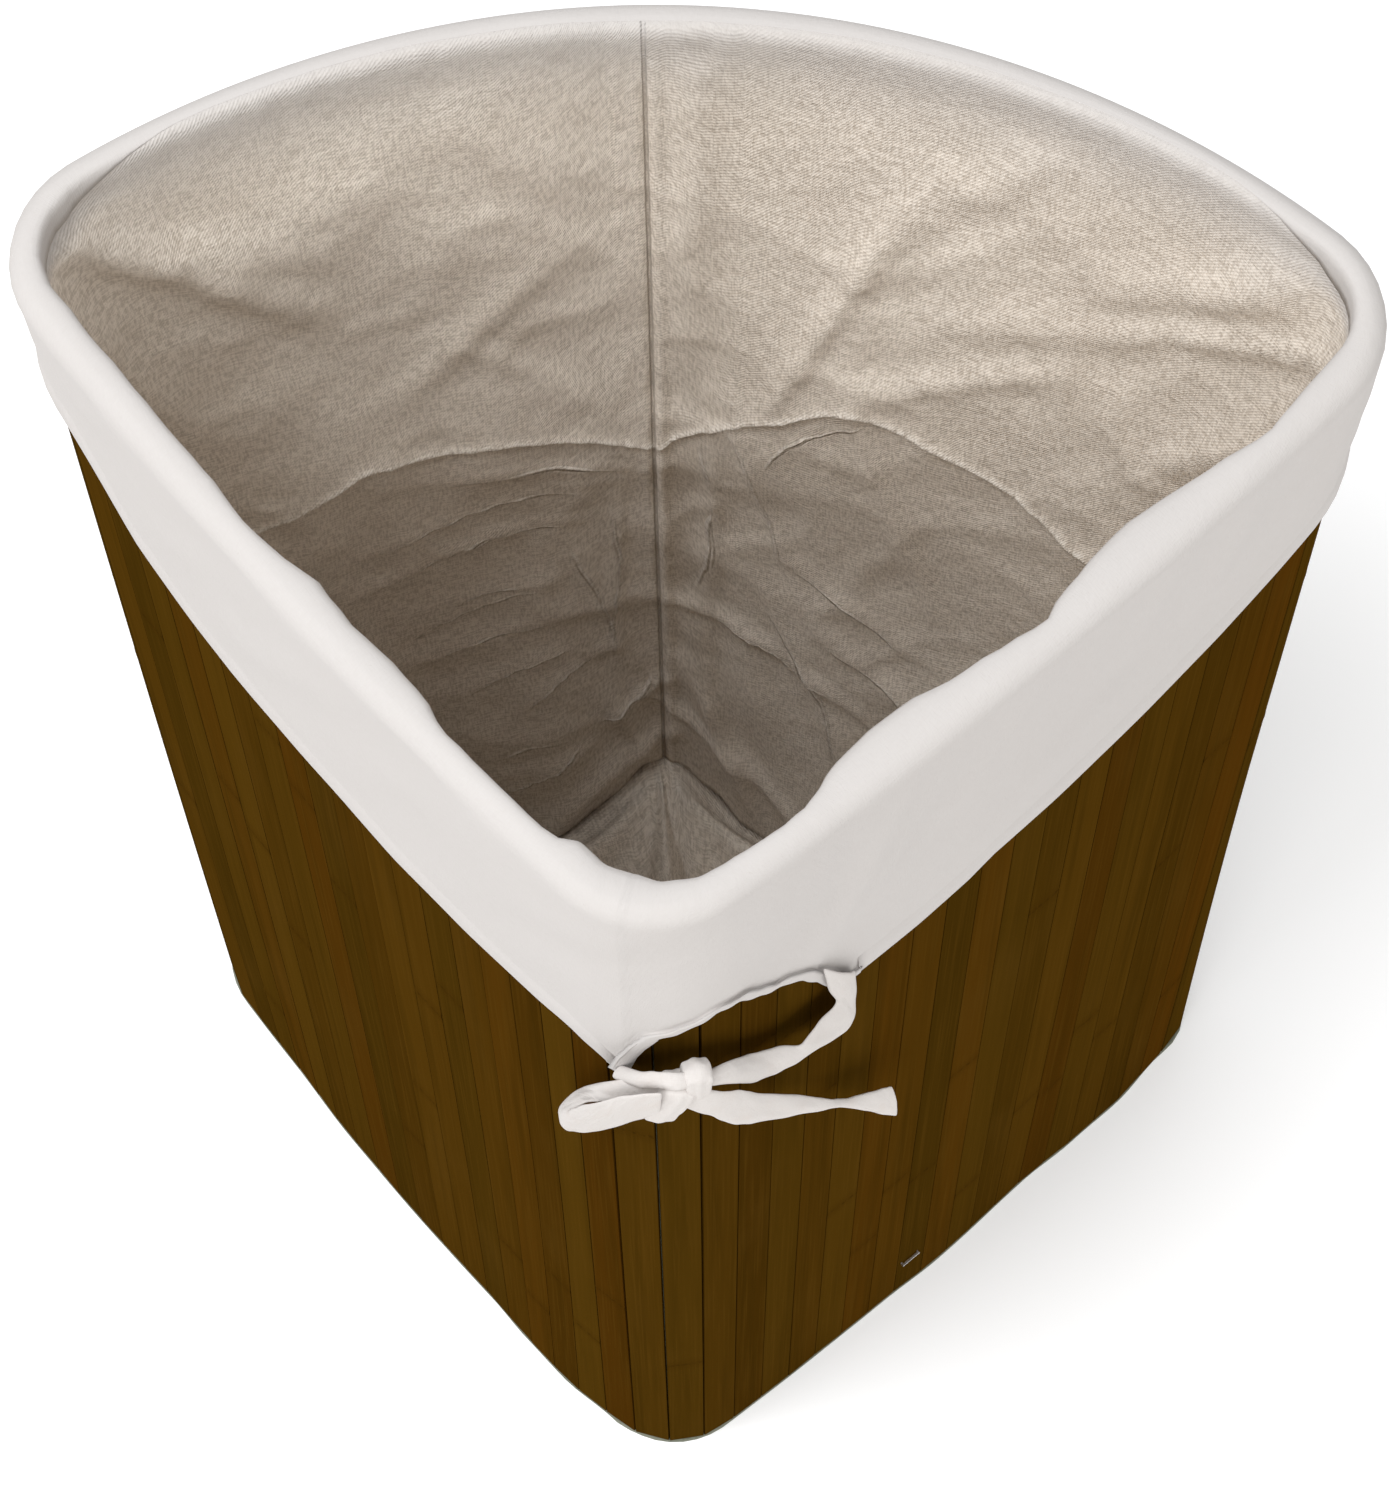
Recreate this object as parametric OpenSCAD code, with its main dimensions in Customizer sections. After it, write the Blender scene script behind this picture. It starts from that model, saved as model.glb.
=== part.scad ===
// Corner laundry hamper: a quarter-circle box of upright bamboo slats on cloth, with a removable
// cotton liner folded over the rim and tied in a bow, and a folding base board.
// Sizes in millimetres. +Z is up, the right-angled corner faces -Y and the curved wall faces +Y.

/* [Body] */
// Height of the mat of slats and tapes
wall_height = 650; // [450:10:800]
// Length of each straight wall, and radius of the curved one
wall_length = 330; // [300:5:360]
// How far each straight wall bows outwards at its middle
wall_bulge = 7; // [3:0.5:10]
// Radius of the corner between the two straight walls
front_radius = 36; // [30:1:44]
// Radius of the corners where the straight walls meet the curved one
side_radius = 36; // [28:1:44]

/* [Slats] */
// Slats in half of the outline, counted from the front corner to the middle of the back
slats_per_half = 37; // [33:1:45]
// Thickness of one slat
slat_thickness = 2; // [1.5:0.1:2.5]
// Gap between neighbouring slats
slat_gap = 0.6; // [0.4:0.1:1]
// Height of the slats' feet above the floor
slat_foot = 3; // [2.5:0.5:5]
// Thickness of the cloth behind the slats
backing_thickness = 0.8; // [0.5:0.1:0.8]

/* [Liner] */
// Depth of the cuff that hangs outside the walls
cuff_depth = 145; // [110:1:200]
// Thickness of the cuff cloth
cuff_thickness = 1.2; // [0.8:0.1:1.2]
// Thickness of the bag cloth
bag_thickness = 0.8; // [0.6:0.1:0.8]
// Height of the hem band along the cuff's lower edge
hem_height = 14; // [8:1:20]
// Width of the arched cut-out in the cuff
arch_width = 76; // [50:1:80]
// Height of the arched cut-out
arch_height = 39; // [30:1:55]
// Width of the tie ribbon
ribbon_width = 14; // [10:0.5:18]

/* [Base] */
// Thickness of the stiff base board
board_thickness = 3; // [2:0.5:3]
// Length of each straight side of the base board
board_length = 306; // [270:2:308]

/* [Hidden] */

slat_count = 2 * slats_per_half;
hair_gap = 0.3;
// Offsets from the line where the slats meet their cloth, positive outwards
backing_in = -backing_thickness;
tape_in = backing_in - 0.8;
hoop_out = tape_in - 0.1;
hoop_thickness = 1.4;
hoop_in = hoop_out - hoop_thickness;
hinge_out = hoop_in - 1.2;
hinge_in = hinge_out - 0.6;
bag_out = hinge_in - 0.6;
bag_in = bag_out - bag_thickness;
cuff_in = slat_thickness + 1.2;
cuff_out = cuff_in + cuff_thickness;
hem_in = cuff_out + 0.1;
hem_out = hem_in + 0.8;

hoop_height = 10;
tape_height = 24;
rim_height = 2.4;
rim_low = wall_height + hair_gap;
cuff_low = wall_height - cuff_depth;

cover_thickness = 0.6;
cover_low = 0.6;
cover_clear = 0.15;
board_low = cover_low + cover_thickness + cover_clear;
cover_high = board_low + board_thickness + cover_clear + cover_thickness;
floor_low = cover_high + hair_gap;
floor_high = floor_low + bag_thickness;

// Front and back limits of the whole, whose middle is the origin
knot_centre = [11.5, -1.6, 511];
knot_size = [20, 13, 21];
bow_clear = 0.45;
front_reach = knot_centre[1] - knot_size[1] / 2 - bow_clear;
back_reach = wall_length + hem_out;
centre_y = (front_reach + back_reach) / 2;

// Staple in the right wall
staple_along = 130;
staple_height = 43;
staple_width = 10;
staple_wire = 0.9;

// The outline is a chain of tangent arcs, each [centre, radius, first angle, last angle]
function half_arcs(leg, bulge, r_front, r_side) =
  let (
    r_leg = (leg * leg / 4 + bulge * bulge) / (2 * bulge),
    c = [(leg / 2 - r_leg + bulge) * sin(45), (leg / 2 + r_leg - bulge) * cos(45)],
    y_front = c[1] - sqrt(pow(r_leg - r_front, 2) - c[0] * c[0]),
    reach = norm(c),
    a = leg - r_side,
    b = r_leg - r_side,
    u = (a * a - b * b + reach * reach) / (2 * reach),
    v = sqrt(a * a - u * u),
    q = [(c[0] * u + c[1] * v) / reach, (c[1] * u - c[0] * v) / reach],
    turn_front = atan2(y_front - c[1], -c[0]),
    turn_side = atan2(q[1] - c[1], q[0] - c[0]),
    turn_back = atan2(q[1], q[0])
  )
  [
    [[0, y_front], r_front, -90, turn_front],
    [c, r_leg, turn_front, turn_side],
    [q, r_side, turn_side, turn_back],
    [[0, 0], leg, turn_back, 90]
  ];
function arc_length(arc) = arc[1] * (arc[3] - arc[2]) * PI / 180;
function arc_point(arc, angle, d) = arc[0] + (arc[1] + d) * [cos(angle), sin(angle)];
// Point and outward direction at a distance s along the right half of the outline
function walk(arcs, s, k = 0) =
  let (l = arc_length(arcs[k]))
  (s <= l || k == len(arcs) - 1)
    ? let (angle = arcs[k][2] + s / arcs[k][1] * 180 / PI)
      [arc_point(arcs[k], angle, 0), [cos(angle), sin(angle)]]
    : walk(arcs, s - l, k + 1);
function mirrored(p) = [-p[0], p[1]];
function reversed(list) = [for (i = [len(list) - 1 : -1 : 0]) list[i]];
function both_halves(half) =
  concat(half, reversed([for (i = [1 : len(half) - 2]) mirrored(half[i])]));

mat_arcs = half_arcs(wall_length, wall_bulge, front_radius, side_radius);
half_length = arc_length(mat_arcs[0]) + arc_length(mat_arcs[1]) + arc_length(mat_arcs[2])
  + arc_length(mat_arcs[3]);
slat_pitch = half_length / slats_per_half;
stations = [for (i = [0 : slats_per_half]) walk(mat_arcs, i * slat_pitch)];
// Outline in flats, one to a slat, moved outwards by d
function flats(d) = both_halves([for (s = stations) s[0] + d * s[1]]);
// Smooth outline moved outwards by d
arc_steps = [6, 10, 9, 18];
function smooth(arcs, d) =
  both_halves(concat(
    [for (k = [0 : 3]) for (i = [0 : arc_steps[k] - 1])
      arc_point(arcs[k], arcs[k][2] + (arcs[k][3] - arcs[k][2]) * i / arc_steps[k], d)],
    [arc_point(arcs[3], 90, d)]
  ));

mat_line = flats(0);

// Base board: straight sides, set in from the walls, hinged along its right side
board_shift = 13;
board_bulge = 0.5;
board_arcs = half_arcs(board_length, board_bulge, 60, 50);
hinge_gap = 2;
// Inner edge of the hinge tape, a line parallel to the right wall
hinge_line = board_shift * sin(45) - hinge_gap;

// Arched cut-out, seen square-on
arch_turn = 40;
arch_centre = 37;
arch_skew = 0.3;
arch_steps = 24;
tunnel_back = 20;
tunnel_length = 100;
binding_width = 4;
binding_in = cuff_out + 0.1;
binding_out = binding_in + 0.8;
function arch(grow) = concat(
  [for (i = [0 : arch_steps])
    let (t = 180 * i / arch_steps)
    [arch_centre + (arch_width / 2 + grow) * cos(t),
      cuff_low + (arch_height * (1 - arch_skew * cos(t)) + grow) * pow(sin(t), 0.6)]],
  [[arch_centre - arch_width / 2 - grow, cuff_low - 30],
    [arch_centre + arch_width / 2 + grow, cuff_low - 30]]
);

module placed() {
  translate([0, -centre_y, 0])
    children();
}

module ring(outer, inner, low, high) {
  translate([0, 0, low])
    linear_extrude(high - low)
      difference() {
        polygon(outer);
        polygon(inner);
      }
}

module smooth_ring(d_out, d_in, low, high) {
  ring(smooth(mat_arcs, d_out), smooth(mat_arcs, d_in), low, high);
}

module flat_ring(d_out, d_in, low, high) {
  ring(flats(d_out), flats(d_in), low, high);
}

// One slat on flat number i, counted anticlockwise from the front corner
module slat(i) {
  a = mat_line[i];
  b = mat_line[(i + 1) % slat_count];
  run = b - a;
  translate([a[0], a[1], slat_foot])
    rotate([0, 0, atan2(run[1], run[0])])
      translate([slat_gap / 2, -slat_thickness, 0])
        cube([norm(run) - slat_gap, slat_thickness, wall_height - slat_foot]);
}

module slats(first, last) {
  for (i = [first : last])
    slat(i);
}

// Flats in each straight wall's front part, each straight wall, and half the outline
front_flats = floor(slats_per_half / 4);
side_flats = floor(slats_per_half * 0.56);

bamboo = [0.29, 0.18, 0.04];
bamboo_light = [0.33, 0.22, 0.06];
cotton = [0.88, 0.87, 0.85];
bag_cotton = [0.78, 0.73, 0.66];

// The staple's legs pass through one slat of this wall
module slats_right_front() {
  color(bamboo)
    placed()
      difference() {
        slats(0, front_flats - 1);
        staple_legs(0.25);
      }
}

module slats_right_rear() {
  color(bamboo_light)
    placed()
      slats(front_flats, side_flats - 1);
}

module slats_back_right() {
  color(bamboo)
    placed()
      slats(side_flats, slats_per_half - 1);
}

module slats_back_left() {
  color(bamboo_light)
    placed()
      slats(slats_per_half, slat_count - side_flats - 1);
}

module slats_left_rear() {
  color(bamboo)
    placed()
      slats(slat_count - side_flats, slat_count - front_flats - 1);
}

module slats_left_front() {
  color(bamboo_light)
    placed()
      slats(slat_count - front_flats, slat_count - 1);
}

module backing() {
  color([0.42, 0.42, 0.32])
    placed()
      difference() {
        flat_ring(-0.02, backing_in, slat_foot, wall_height);
        staple_legs(0.25);
      }
}

// Cloth tape that binds the mat's lower edge and stands on the floor
module foot_tape() {
  color([0.38, 0.4, 0.3])
    placed()
      flat_ring(slat_thickness - 0.6, hoop_in, 0, slat_foot - 0.1);
}

module top_tape() {
  color([0.38, 0.4, 0.3])
    placed()
      flat_ring(backing_in - 0.05, tape_in, wall_height - tape_height, wall_height);
}

// Flat spring-steel hoops that hold the quarter-circle plan
module hoop_top() {
  color([0.6, 0.6, 0.62])
    placed()
      flat_ring(hoop_out, hoop_in, wall_height - hoop_height - 5, wall_height - 5);
}

module hoop_foot() {
  color([0.6, 0.6, 0.62])
    placed()
      flat_ring(hoop_out, hoop_in, slat_foot, slat_foot + hoop_height);
}

// Frame of the right wall at the staple: X along the wall, -Y outwards
module at_staple() {
  s = walk(mat_arcs, staple_along);
  translate([s[0][0], s[0][1], staple_height])
    rotate([0, 0, atan2(s[1][1], s[1][0]) + 90])
      children();
}

module staple_legs(clear) {
  depth = slat_thickness + backing_thickness + 1.2;
  at_staple()
    for (side = [-1, 1])
      translate([side * (staple_width - staple_wire) / 2, -slat_thickness - 0.2 + depth / 2, 0])
        cube([staple_wire + 2 * clear, depth + 2 * clear, staple_wire + 2 * clear], center = true);
}

module staple() {
  color([0.75, 0.76, 0.78])
    placed() {
      staple_legs(0);
      at_staple()
        translate([0, -slat_thickness - 0.2 - staple_wire / 2, 0])
          cube([staple_width, staple_wire, staple_wire], center = true);
    }
}

// Cloth tape: its tall side is stapled to the right wall, its low side reaches under the board
module hinge_tape() {
  tall = staple_height + 8;
  inset = 60;
  color([0.8, 0.78, 0.72])
    placed()
      intersection() {
        union() {
          smooth_ring(hinge_out, hinge_in, cover_low, tall);
          difference() {
            smooth_ring(hinge_out, -inset, cover_low, cover_low + cover_thickness);
            rotate([0, 0, 45])
              translate([-wall_length, hinge_line - cover_thickness, 0])
                cube([3 * wall_length, wall_length, tall]);
          }
        }
        rotate([0, 0, 45])
          translate([inset, -inset, 0])
            cube([wall_length - 2 * inset, 2 * inset, tall]);
      }
}

module board_outline(d) {
  translate([0, board_shift])
    polygon(smooth(board_arcs, d));
}

module base_board() {
  color([0.55, 0.42, 0.28])
    placed()
      translate([0, 0, board_low])
        linear_extrude(board_thickness)
          board_outline(0);
}

// Cloth sleeve round the board, open along the hinge
module board_cover() {
  color([0.82, 0.79, 0.72])
    placed()
      difference() {
        translate([0, 0, cover_low])
          linear_extrude(cover_high - cover_low)
            board_outline(cover_thickness + cover_clear);
        translate([0, 0, cover_low + cover_thickness])
          linear_extrude(board_thickness + 2 * cover_clear)
            union() {
              board_outline(cover_clear);
              intersection() {
                translate([2, board_shift - 2])
                  polygon(smooth(board_arcs, cover_clear));
                rotate([0, 0, 45])
                  translate([60, -60])
                    square([board_length - 120, 100]);
              }
            }
      }
}

// Bag wall between two directions seen from the middle of the plan
module bag_wall(from, to) {
  reach = 900;
  hub = [0, 150];
  placed()
    intersection() {
      smooth_ring(bag_out, bag_in, floor_high + 0.1, wall_height);
      linear_extrude(wall_height)
        polygon([
          hub,
          hub + reach * [cos(from), sin(from)],
          hub + reach * [cos((from + to) / 2), sin((from + to) / 2)],
          hub + reach * [cos(to), sin(to)]
        ]);
    }
}

bag_side = 21;

module bag_right() {
  color(bag_cotton)
    bag_wall(-89.97, bag_side);
}

module bag_back_right() {
  color(bag_cotton)
    bag_wall(bag_side + 0.03, 89.97);
}

module bag_back_left() {
  color(bag_cotton)
    bag_wall(90.03, 180 - bag_side - 0.03);
}

module bag_left() {
  color(bag_cotton)
    bag_wall(180 - bag_side, 269.97);
}

module bag_floor() {
  color(bag_cotton)
    placed()
      translate([0, 0, floor_low])
        linear_extrude(bag_thickness)
          polygon(smooth(mat_arcs, bag_out));
}

// Seam allowances inside the bag
module back_seam() {
  color(bag_cotton)
    placed()
      translate([-3, wall_length + bag_in - 1.6, floor_high + 4])
        cube([6, 1, wall_height - floor_high - 10]);
}

module floor_seam() {
  color(bag_cotton)
    placed()
      smooth_ring(bag_in - 0.1, bag_in - 2.1, floor_high + 0.1, floor_high + 2.1);
}

// Gathered fold of the liner over the top of the walls
module rim_fold() {
  color(cotton)
    placed()
      smooth_ring(cuff_out, bag_in, rim_low, rim_low + rim_height);
}

// Tunnel through the cuff at the arched cut-out
module arch_tunnel(grow) {
  rotate([0, 0, arch_turn])
    rotate([90, 0, 0])
      translate([0, 0, -tunnel_back])
        linear_extrude(tunnel_length)
          polygon(arch(grow));
}

module cuff() {
  color(cotton)
    placed()
      difference() {
        smooth_ring(cuff_out, cuff_in, cuff_low, rim_low - 0.1);
        arch_tunnel(0);
      }
}

module cuff_hem() {
  color(cotton)
    placed()
      difference() {
        smooth_ring(hem_out, hem_in, cuff_low, cuff_low + hem_height);
        arch_tunnel(binding_width + 0.2);
      }
}

module arch_binding() {
  color(cotton)
    placed()
      intersection() {
        difference() {
          smooth_ring(binding_out, binding_in, cuff_low, cuff_low + arch_height + 20);
          arch_tunnel(0);
        }
        arch_tunnel(binding_width);
      }
}

// Flat strip of ribbon between two points, turned about its own length by roll
module strip(a, b, width, roll) {
  run = b - a;
  translate(a)
    rotate([0, -atan2(run[2], norm([run[0], run[1]])), atan2(run[1], run[0])])
      rotate([roll, 0, 0])
        translate([0, -0.5, -width / 2])
          cube([norm(run), 1, width]);
}

module ribbon_left() {
  color(cotton)
    placed()
      strip([-9, 2.2, 519], [-1.5, -0.8, 517.5], ribbon_width, 0);
}

module ribbon_right() {
  color(cotton)
    placed() {
      strip([68.5, 46.5, 499], [64.5, 39.5, 471], ribbon_width, 0);
      strip([63.5, 38.5, 471], [25, 3, 506], ribbon_width, 20);
    }
}

module knot() {
  color(cotton)
    placed()
      translate(knot_centre)
        cube(knot_size, center = true);
}

// Loop of the bow, a flattened ring of ribbon seen edge-on
module bow_loop() {
  loop_length = 44;
  loop_half = 9;
  turns = 24;
  color(cotton)
    placed()
      translate([0.8, -1.6, 507])
        rotate([0, 0, -8])
          rotate([0, 180 - 33, 0])
            rotate([90, 0, 0])
              translate([0, 0, -ribbon_width / 2])
                linear_extrude(ribbon_width)
                  difference() {
                    polygon(loop_outline(loop_length, loop_half, turns));
                    translate([1.5, 0])
                      polygon(loop_outline(loop_length - 3, loop_half - 1.1, turns));
                  }
}
function loop_outline(length, half, turns) = [
  for (i = [0 : turns - 1])
    let (t = 360 * i / turns)
    [length * (1 - cos(t)) / 2, half * sin(t) * pow((1 - cos(t)) / 2 + 0.05, 0.35)]
];

module tail() {
  color(cotton)
    placed() {
      strip([23.2, -2, 499], [37, 3, 480], ribbon_width, 0);
      strip([37.6, 3.4, 479], [60.5, 25, 437], ribbon_width, 0);
      strip([61, 25.6, 436], [84, 48, 376], ribbon_width, 0);
    }
}

slats_left_front();
slats_left_rear();
slats_right_front();
slats_right_rear();
slats_back_left();
slats_back_right();
backing();
foot_tape();
top_tape();
hoop_top();
hoop_foot();
staple();
hinge_tape();
base_board();
board_cover();
bag_left();
bag_right();
bag_back_left();
bag_back_right();
bag_floor();
back_seam();
floor_seam();
rim_fold();
cuff();
cuff_hem();
arch_binding();
ribbon_left();
ribbon_right();
knot();
bow_loop();
tail();
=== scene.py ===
import math
import random

import bmesh
import bpy
from mathutils import Matrix, Vector, noise


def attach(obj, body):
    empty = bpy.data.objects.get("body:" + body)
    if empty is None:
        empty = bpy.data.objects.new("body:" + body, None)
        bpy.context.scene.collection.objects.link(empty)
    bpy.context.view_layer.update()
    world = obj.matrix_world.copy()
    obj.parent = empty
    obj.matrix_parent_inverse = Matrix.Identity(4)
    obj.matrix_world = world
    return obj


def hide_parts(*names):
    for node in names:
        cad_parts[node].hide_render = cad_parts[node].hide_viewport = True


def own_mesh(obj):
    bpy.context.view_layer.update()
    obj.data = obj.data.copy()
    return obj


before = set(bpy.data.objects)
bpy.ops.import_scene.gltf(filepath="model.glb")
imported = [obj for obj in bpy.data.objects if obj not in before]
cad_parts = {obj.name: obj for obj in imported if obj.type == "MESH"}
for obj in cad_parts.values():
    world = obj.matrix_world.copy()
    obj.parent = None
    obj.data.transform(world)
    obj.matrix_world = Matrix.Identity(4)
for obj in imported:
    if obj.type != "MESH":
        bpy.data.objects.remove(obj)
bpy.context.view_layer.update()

# Studio: a white floor and an even pale surround. The strongest soft lamp hangs high on the left
# and a small one over the hamper's mouth, with weak ones at the front left and right. The view
# looks steeply down from in front.
for node_object in bpy.context.selected_objects:
    node_object.select_set(False)
scene = bpy.context.scene
scene.view_settings.view_transform = "Standard"

camera = bpy.data.objects.new("camera", bpy.data.cameras.new("camera"))
scene.collection.objects.link(camera)
scene.camera = camera
camera.data.lens = 101.238
camera.data.sensor_width = 36
camera.data.clip_end = 60
camera_place = Vector((0.05199, -0.618815, 1.84656))
look_down = 1.15988
look_left = 0.07874
tilt = 0.013
look = Vector((-math.sin(look_left) * math.cos(look_down),
               math.cos(look_left) * math.cos(look_down), -math.sin(look_down)))
level_right = Vector((math.cos(look_left), math.sin(look_left), 0))
level_up = level_right.cross(look)
right_hand = math.cos(tilt) * level_right - math.sin(tilt) * level_up
head_up = math.sin(tilt) * level_right + math.cos(tilt) * level_up
camera.matrix_world = Matrix.Translation(camera_place) @ Matrix(
    (right_hand, head_up, -look)).transposed().to_4x4()

surround = bpy.data.worlds.new("surround")
scene.world = surround
surround.use_nodes = True
sky = surround.node_tree.nodes["Background"]
sky.inputs["Color"].default_value = (1.0, 1.0, 1.0, 1)
sky.inputs["Strength"].default_value = 0.67


def hang_lamp(name, place, aim, size, watts, tint):
    lamp = bpy.data.objects.new(name, bpy.data.lights.new(name, "AREA"))
    lamp.data.size = size
    lamp.data.energy = watts
    lamp.data.color = tint
    lamp.location = place
    lamp.rotation_euler = (Vector(aim) - Vector(place)).to_track_quat("-Z", "Y").to_euler()
    scene.collection.objects.link(lamp)


hang_lamp("key_lamp", (-0.9, -2.7, 2.7), (0, 0, 0.4), 1.2, 24, (1.0, 0.985, 0.965))
hang_lamp("fill_lamp", (2.6, -2.3, 0.95), (0, 0, 0.45), 1.4, 17, (1.0, 0.975, 0.94))
hang_lamp("top_lamp", (-1.35, -0.85, 3.8), (0, 0, 0.2), 1.3, 66, (0.97, 0.985, 1.0))
hang_lamp("well_lamp", (-0.5, -0.35, 2.6), (0.08, 0.08, 0.1), 0.6, 10, (0.94, 0.97, 1.0))

bpy.ops.mesh.primitive_plane_add(size=40, location=(0, 0, 0))
floor = bpy.context.object
floor.name = "studio_floor"
bpy.ops.object.mode_set(mode="EDIT")
bpy.ops.mesh.subdivide(number_cuts=4)
bpy.ops.object.mode_set(mode="OBJECT")
floor.select_set(False)


class Shade:
    """An output inside a material's nodes. Arithmetic on it adds Math nodes."""

    def __init__(self, tree, socket=None):
        self.tree = tree
        self.socket = socket

    def make(self, kind, settings, sockets, output=0):
        node = self.tree.nodes.new(kind)
        for key, value in settings.items():
            setattr(node, key, value)
        for key, value in sockets.items():
            if isinstance(value, Shade):
                self.tree.links.new(value.socket, node.inputs[key])
            else:
                node.inputs[key].default_value = value
        return Shade(self.tree, node.outputs[output])

    def math(self, operation, first, second=0.0):
        return self.make("ShaderNodeMath", {"operation": operation}, {0: first, 1: second})

    def __add__(self, other):
        return self.math("ADD", self, other)

    __radd__ = __add__

    def __sub__(self, other):
        return self.math("SUBTRACT", self, other)

    def __rsub__(self, other):
        return self.math("SUBTRACT", other, self)

    def __mul__(self, other):
        return self.math("MULTIPLY", self, other)

    __rmul__ = __mul__

    def size(self):
        """Distance from 0."""
        return self.math("ABSOLUTE", self)

    def band(self, low, high):
        """0 below low, 1 above high, smooth between."""
        return self.make("ShaderNodeMapRange", {"interpolation_type": "SMOOTHSTEP"},
                         {"Value": self, "From Min": low, "From Max": high})

    def tint(self, first, second):
        """First colour where this is 0, second where it is 1."""
        return self.make("ShaderNodeMix", {"data_type": "RGBA"},
                         {"Factor": self, 6: first, 7: second}, 2)

    def stretched(self, scale):
        """This position with a scale along each axis."""
        return self.make("ShaderNodeVectorMath", {"operation": "MULTIPLY"},
                         {0: self, 1: scale})

    def part(self, axis):
        """One coordinate of this position."""
        return self.make("ShaderNodeSeparateXYZ", {}, {0: self}, axis)

    def speckle(self, scale, detail=2.0, roughness=0.5):
        """Noise at this position, from 0 to 1."""
        return self.make("ShaderNodeTexNoise", {},
                         {"Vector": self, "Scale": scale, "Detail": detail,
                          "Roughness": roughness})


def new_material(name, roughness, gloss, metal=0.0):
    """A material whose shader has this constant gloss; returns it, its nodes and shader."""
    material = bpy.data.materials.new(name)
    material.use_nodes = True
    shader = material.node_tree.nodes["Principled BSDF"]
    shader.inputs["Roughness"].default_value = roughness
    shader.inputs["Specular IOR Level"].default_value = gloss
    shader.inputs["Metallic"].default_value = metal
    return material, Shade(material.node_tree), shader


def wire(nodes, shader, slot, value):
    """Feed one of the shader's inputs."""
    nodes.tree.links.new(value.socket, shader.inputs[slot])


def bump(nodes, height, distance, strength=1.0, under=None):
    """Small relief, on top of another bump if there is one under it."""
    sockets = {"Height": height, "Distance": distance, "Strength": strength}
    if under:
        sockets["Normal"] = under
    return nodes.make("ShaderNodeBump", {}, sockets)


def object_place(nodes):
    return nodes.make("ShaderNodeTexCoord", {}, {}, "Object")


white_paint, nodes, shader = new_material("floor_white", 0.9, 0.1)
spot = object_place(nodes)
wire(nodes, shader, "Base Color",
     spot.speckle(3.0).tint((0.93, 0.93, 0.93, 1), (0.95, 0.95, 0.95, 1)))
shader.inputs["Emission Color"].default_value = (1, 1, 1, 1)
shader.inputs["Emission Strength"].default_value = 0.2
floor.data.materials.append(white_paint)

# Bamboo walls: flat strips split from the culm, planed to 2 mm, stained dark brown and stuck
# upright side by side on cloth. Each strip keeps a faint ridge where its knot was.
wall_length = 0.330
wall_bulge = 0.007
corner_radius = 0.036
wall_height = 0.650
slats_per_half = 37
slat_thickness = 0.002
slat_gap = 0.0004
slat_foot = 0.003
middle_y = 0.163375


def wall_arcs():
    """Plan of the right half as tangent arcs (centre, radius, first and last angle)."""
    leg, bulge, corner = wall_length, wall_bulge, corner_radius
    leg_radius = (leg * leg / 4 + bulge * bulge) / (2 * bulge)
    diagonal = math.sqrt(0.5)
    centre = Vector(((leg / 2 - leg_radius + bulge) * diagonal,
                     (leg / 2 + leg_radius - bulge) * diagonal))
    front_y = centre.y - math.sqrt((leg_radius - corner) ** 2 - centre.x ** 2)
    reach = centre.length
    a, b = leg - corner, leg_radius - corner
    u = (a * a - b * b + reach * reach) / (2 * reach)
    v = math.sqrt(a * a - u * u)
    side = Vector(((centre.x * u + centre.y * v) / reach, (centre.y * u - centre.x * v) / reach))
    turn_front = math.atan2(front_y - centre.y, -centre.x)
    turn_side = math.atan2(side.y - centre.y, side.x - centre.x)
    turn_back = math.atan2(side.y, side.x)
    return [(Vector((0, front_y)), corner, -math.pi / 2, turn_front),
            (centre, leg_radius, turn_front, turn_side),
            (side, corner, turn_side, turn_back),
            (Vector((0, 0)), leg, turn_back, math.pi / 2)]


arcs = wall_arcs()
half_way = sum(radius * (last - first) for centre, radius, first, last in arcs)


def on_wall(along, out, up):
    """Point at a distance along the wall from the front corner, + to the right."""
    along = (along + half_way) % (2 * half_way) - half_way
    left = abs(along)
    for centre, radius, first, last in arcs:
        run = radius * (last - first)
        if left <= run + 1e-9:
            break
        left -= run
    angle = first + min(left, run) / radius
    x = centre.x + (radius + out) * math.cos(angle)
    y = centre.y + (radius + out) * math.sin(angle)
    return Vector((x if along >= 0 else -x, y - middle_y, up))


def between(value, knots):
    """Smooth curve through (place, height) knots."""
    if value <= knots[0][0]:
        return knots[0][1]
    for (a, low), (b, high) in zip(knots, knots[1:]):
        if value <= b:
            t = (value - a) / (b - a)
            t = t * t * (3 - 2 * t)
            return low + (high - low) * t
    return knots[-1][1]


# Millimetres that the walls' foot stands out (+) or in (-) of its outline
foot_wave_knots = [(-569, 0.5), (-420, 0.6), (-298, -1.0), (-252, -0.8), (-204, 0.8),
                   (-154, 1.2), (-104, 1.2), (-80, 2.4), (-55, 2.9), (-26, 0.2), (-13, -0.8),
                   (59, -0.9), (88, -1.0), (118, -0.9), (148, 0.2), (203, -1.0), (234, 0.9),
                   (263, 2.1), (289, 0.2), (306, 2.9), (420, 0.4), (569, 0.5)]
wave_height = 0.30


def foot_wave(along, up):
    fade = max(0.0, 1 - up / wave_height)
    return between(along * 1000, foot_wave_knots) * 0.001 * fade ** 1.5


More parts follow.
